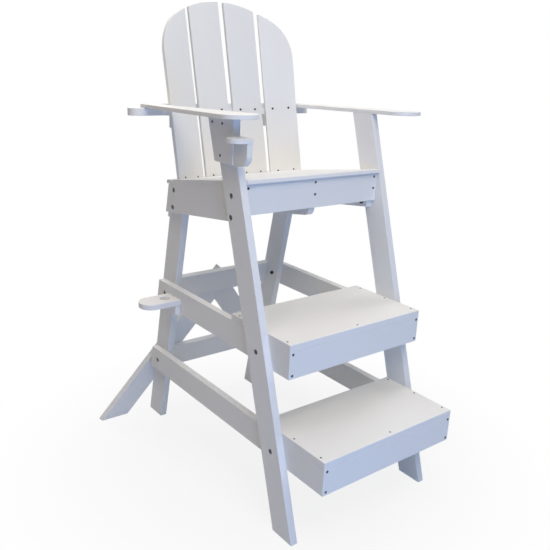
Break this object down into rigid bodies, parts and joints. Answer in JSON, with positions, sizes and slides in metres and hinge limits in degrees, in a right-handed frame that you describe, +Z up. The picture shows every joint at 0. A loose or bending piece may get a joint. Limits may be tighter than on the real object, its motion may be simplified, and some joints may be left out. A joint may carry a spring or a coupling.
{
  "type": "lifeguard chair",
  "caption": "Tall lifeguard chair of white plastic lumber: leaning legs, climbing treads, sloped slat seat, arched contoured back, flat arms, small shelf and pole plate.",
  "frame": {"origin": "on the floor, below the middle of the bounding box", "axes": "+Z up, the chair faces -Y, +X to the right as seen from the front"},
  "size_m": [0.9424, 1.1236, 1.6004],
  "materials": {
    "white_lumber": "satin white recycled plastic lumber",
    "dark_hardware": "dark coated steel"
  },
  "bodies": {
    "root": {"front_leg_left": "white_lumber", "front_leg_right": "white_lumber", "rear_leg_left": "white_lumber", "rear_leg_right": "white_lumber", "lower_side_rail_left": "white_lumber", "lower_side_rail_right": "white_lumber", "upper_side_rail_left": "white_lumber", "upper_side_rail_right": "white_lumber", "lower_tread": "white_lumber", "lower_riser": "white_lumber", "upper_tread": "white_lumber", "upper_riser": "white_lumber", "lower_rear_cross_rail": "white_lumber", "upper_rear_cross_rail": "white_lumber", "rear_brace_left": "white_lumber", "rear_brace_right": "white_lumber", "seat_side_rail_left": "white_lumber", "seat_side_rail_right": "white_lumber", "seat_centre_beam": "white_lumber", "front_apron": "white_lumber", "rear_apron": "white_lumber", "seat_slat_1": "white_lumber", "seat_slat_2": "white_lumber", "seat_slat_3": "white_lumber", "seat_slat_4": "white_lumber", "back_slat_1": "white_lumber", "back_slat_2": "white_lumber", "back_slat_3": "white_lumber", "back_slat_4": "white_lumber", "back_foot_board": "white_lumber", "arm_board": "white_lumber", "arm_tie_board": "white_lumber", "back_cleat_left": "white_lumber", "back_cleat_right": "white_lumber", "arm_left": "white_lumber", "arm_right": "white_lumber", "leg_doubler": "white_lumber", "shelf_gusset": "white_lumber", "shelf_plate": "white_lumber", "pole_plate": "white_lumber", "pole_plate_cleat": "white_lumber", "front_leg_bolts": "dark_hardware", "front_leg_nuts": "dark_hardware", "rear_leg_bolts": "dark_hardware", "rear_leg_nuts": "dark_hardware"}
  },
  "joints": []
}
